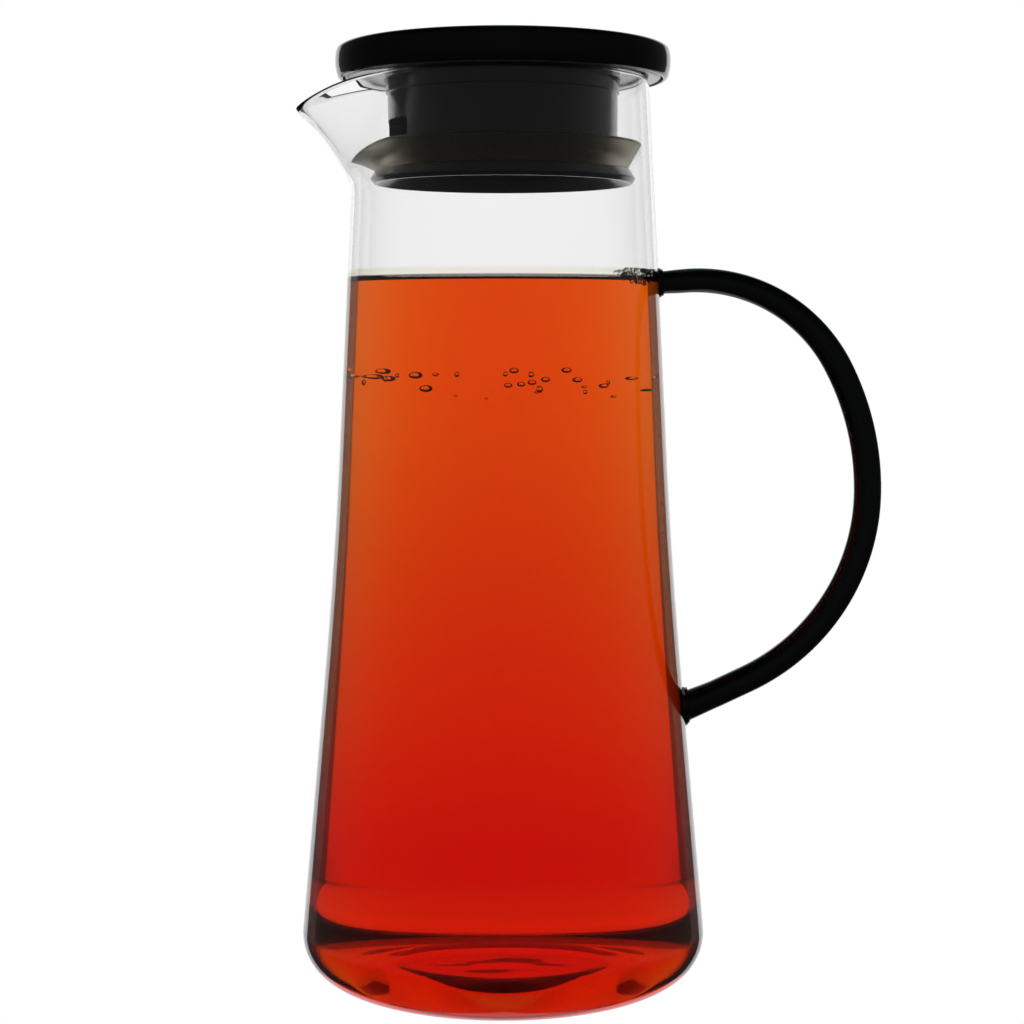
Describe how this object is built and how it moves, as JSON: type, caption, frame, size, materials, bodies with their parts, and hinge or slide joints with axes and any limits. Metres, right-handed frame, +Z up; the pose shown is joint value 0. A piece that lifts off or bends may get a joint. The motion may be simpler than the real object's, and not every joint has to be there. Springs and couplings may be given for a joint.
{
  "type": "glass jug",
  "caption": "Waisted glass jug of tea with a pulled spout, a dark glass rod handle, and a lid whose sealed stopper lifts out and turns to open its pour window.",
  "frame": {"origin": "on the table, on the axis of the jug's body", "axes": "+Z up along the body's axis, spout towards -X, handle towards +X"},
  "size_m": [0.1575, 0.1092, 0.2497],
  "materials": {
    "clear_glass": "polished clear",
    "dark_glass": "polished, nearly black",
    "tea": "clear amber-red liquid",
    "black_plastic": "high gloss",
    "smoky_plastic": "satin, slightly translucent",
    "soft_seal": "soft, milky"
  },
  "bodies": {
    "jug": {"glass_body": "clear_glass", "handle": "dark_glass", "tea": "tea"},
    "seal": {"seal_ring": "soft_seal"},
    "lid": {"lid_cover": "black_plastic", "stopper": "smoky_plastic"}
  },
  "joints": [
    {"name": "lid_lift", "type": "slide", "parent": "jug", "child": "seal", "axis": [0, 0, 1], "range_m": [0, 0.06]},
    {"name": "lid_turn", "type": "hinge", "parent": "seal", "child": "lid", "pos_m": [0, 0, 0.24], "axis": [0, 0, 1], "continuous": true}
  ]
}
